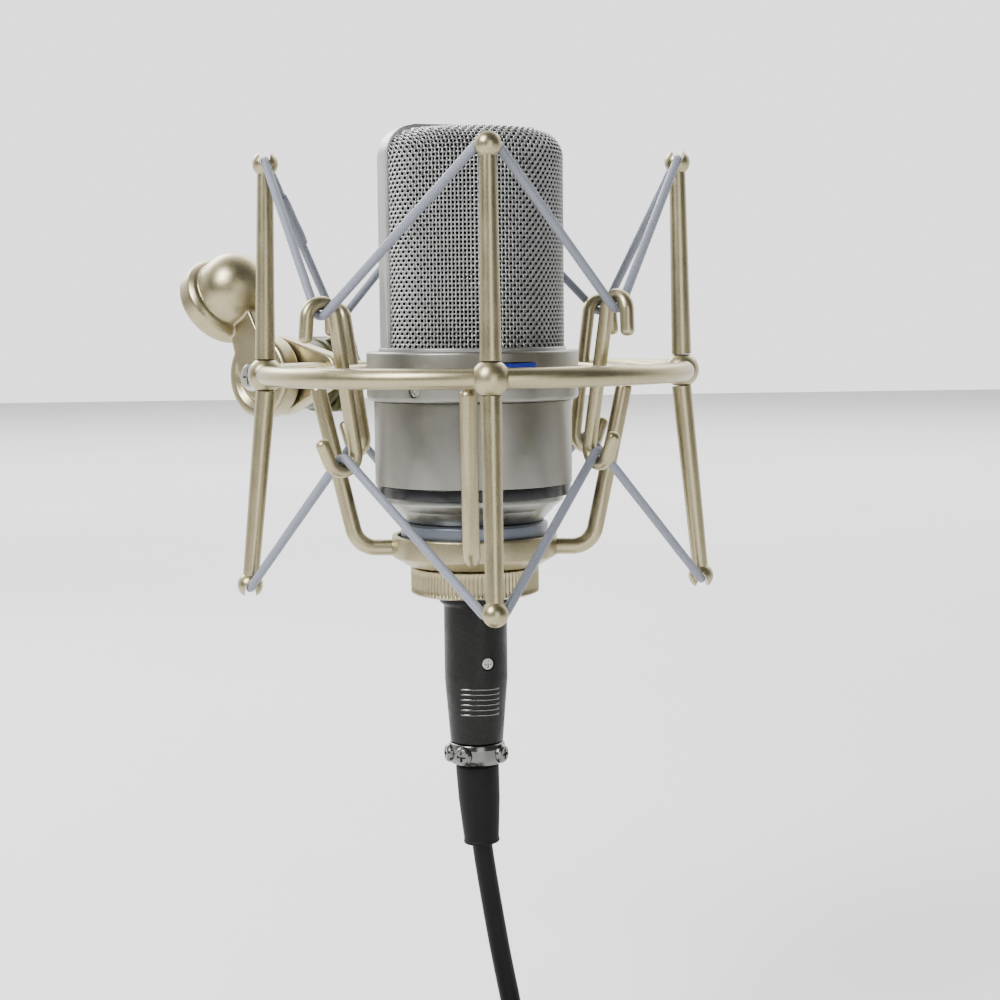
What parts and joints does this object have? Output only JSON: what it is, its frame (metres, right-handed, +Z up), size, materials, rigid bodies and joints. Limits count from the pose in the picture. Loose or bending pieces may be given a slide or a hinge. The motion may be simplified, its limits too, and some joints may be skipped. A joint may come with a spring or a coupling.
{
  "type": "condenser_microphone",
  "caption": "Studio condenser microphone in a spider shock mount with elastic bands, a stand swivel and an XLR lead",
  "frame": {"origin": "centre of the stand socket's mouth, where the stand's thread enters", "axes": "+Z up along the microphone, -Y towards the front post of the outer frame, +X to the right seen from the front"},
  "size_m": [0.173, 0.1957, 0.3267],
  "materials": {
    "champagne_metal": "satin pale gold plating",
    "knob_metal": "dark olive enamel",
    "screw_steel": "plain steel",
    "fibre": "pressed fibre washer",
    "elastic_cord": "braided cover over rubber strands",
    "satin_nickel": "satin nickel plating",
    "woven_mesh": "woven wire mesh",
    "gloss_black": "glossy black",
    "blue_enamel": "glossy blue enamel in a metal rim",
    "capsule_brass": "machined",
    "gold_film": "gold-coated film",
    "black_plastic": "moulded",
    "board_green": "solder-masked circuit board",
    "black_shell": "satin black coating",
    "chrome_clamp": "plated",
    "black_rubber": "moulded matte rubber",
    "cable_jacket": "matte PVC jacket"
  },
  "bodies": {
    "stand_adapter": {"stand_socket": "champagne_metal", "hinge_screw": "screw_steel", "friction_washer": "fibre"},
    "clamp_knob": {"clamp_knob": "knob_metal", "knob_ferrule": "knob_metal"},
    "outer_frame": {"swivel_arm": "champagne_metal", "outer_ring": "champagne_metal", "upper_rod_front": "champagne_metal", "upper_rod_right": "champagne_metal", "upper_rod_back": "champagne_metal", "upper_rod_left": "champagne_metal", "lower_rod_front": "champagne_metal", "lower_rod_right": "champagne_metal", "lower_rod_back": "champagne_metal", "lower_rod_left": "champagne_metal", "upper_band": "elastic_cord", "lower_band": "elastic_cord", "band_sleeve": "elastic_cord"},
    "cradle": {"cradle_cup": "champagne_metal", "cradle_ring": "champagne_metal", "cradle_leg_front": "champagne_metal", "cradle_leg_right": "champagne_metal", "cradle_leg_back": "champagne_metal", "cradle_leg_left": "champagne_metal", "hook_wire_back_right": "champagne_metal", "hook_wire_back_left": "champagne_metal", "hook_wire_front_left": "champagne_metal", "hook_wire_front_right": "champagne_metal", "mic_body": "satin_nickel", "body_band": "gloss_black", "body_base": "satin_nickel", "grille_front": "woven_mesh", "grille_back": "woven_mesh", "grille_frame": "satin_nickel", "collar": "satin_nickel", "collar_screw_1": "screw_steel", "collar_screw_2": "screw_steel", "collar_screw_3": "screw_steel", "badge": "blue_enamel", "capsule_body": "capsule_brass", "diaphragm_front": "gold_film", "diaphragm_back": "gold_film", "capsule_post": "black_plastic", "chassis_frame": "screw_steel", "circuit_board": "board_green", "output_transformer": "screw_steel", "xlr_insert": "black_plastic", "connector_shell": "black_shell", "connector_insert": "black_plastic", "cable_clamp": "chrome_clamp", "connector_boot": "black_rubber", "cable": "cable_jacket", "cable_coil": "cable_jacket", "cable_tail": "cable_jacket", "plug_boot": "black_rubber", "plug_shell": "black_shell", "plug_insert": "black_plastic"},
    "lock_nut": {"lock_nut": "champagne_metal"},
    "latch_button": {"latch_button": "screw_steel"}
  },
  "joints": [
    {"name": "knob_turn", "type": "hinge", "parent": "stand_adapter", "child": "clamp_knob", "pos_m": [0.02313, -0.01111, -0.0237], "axis": [0.7071, 0.7071, 0], "continuous": true},
    {"name": "swivel_tilt", "type": "hinge", "parent": "stand_adapter", "child": "outer_frame", "pos_m": [0.02313, -0.01111, -0.0237], "axis": [0.7071, 0.7071, 0], "range_deg": [-35, 60]},
    {"name": "suspension_bounce", "type": "slide", "parent": "outer_frame", "child": "cradle", "axis": [0, 0, 1], "range_m": [-0.004, 0.004], "stiffness_N_per_m": 2000, "springref_m": 0.00536, "deforming": ["upper_band", "lower_band"]},
    {"name": "lock_nut_spin", "type": "hinge", "parent": "cradle", "child": "lock_nut", "pos_m": [0.08521, -0.07397, -0.0867], "axis": [0, 0, 1], "continuous": true},
    {"name": "latch_press", "type": "slide", "parent": "cradle", "child": "latch_button", "axis": [0.4617, -0.887, 0], "range_m": [0, 0.0012], "stiffness_N_per_m": 800, "springref_m": -0.001}
  ]
}
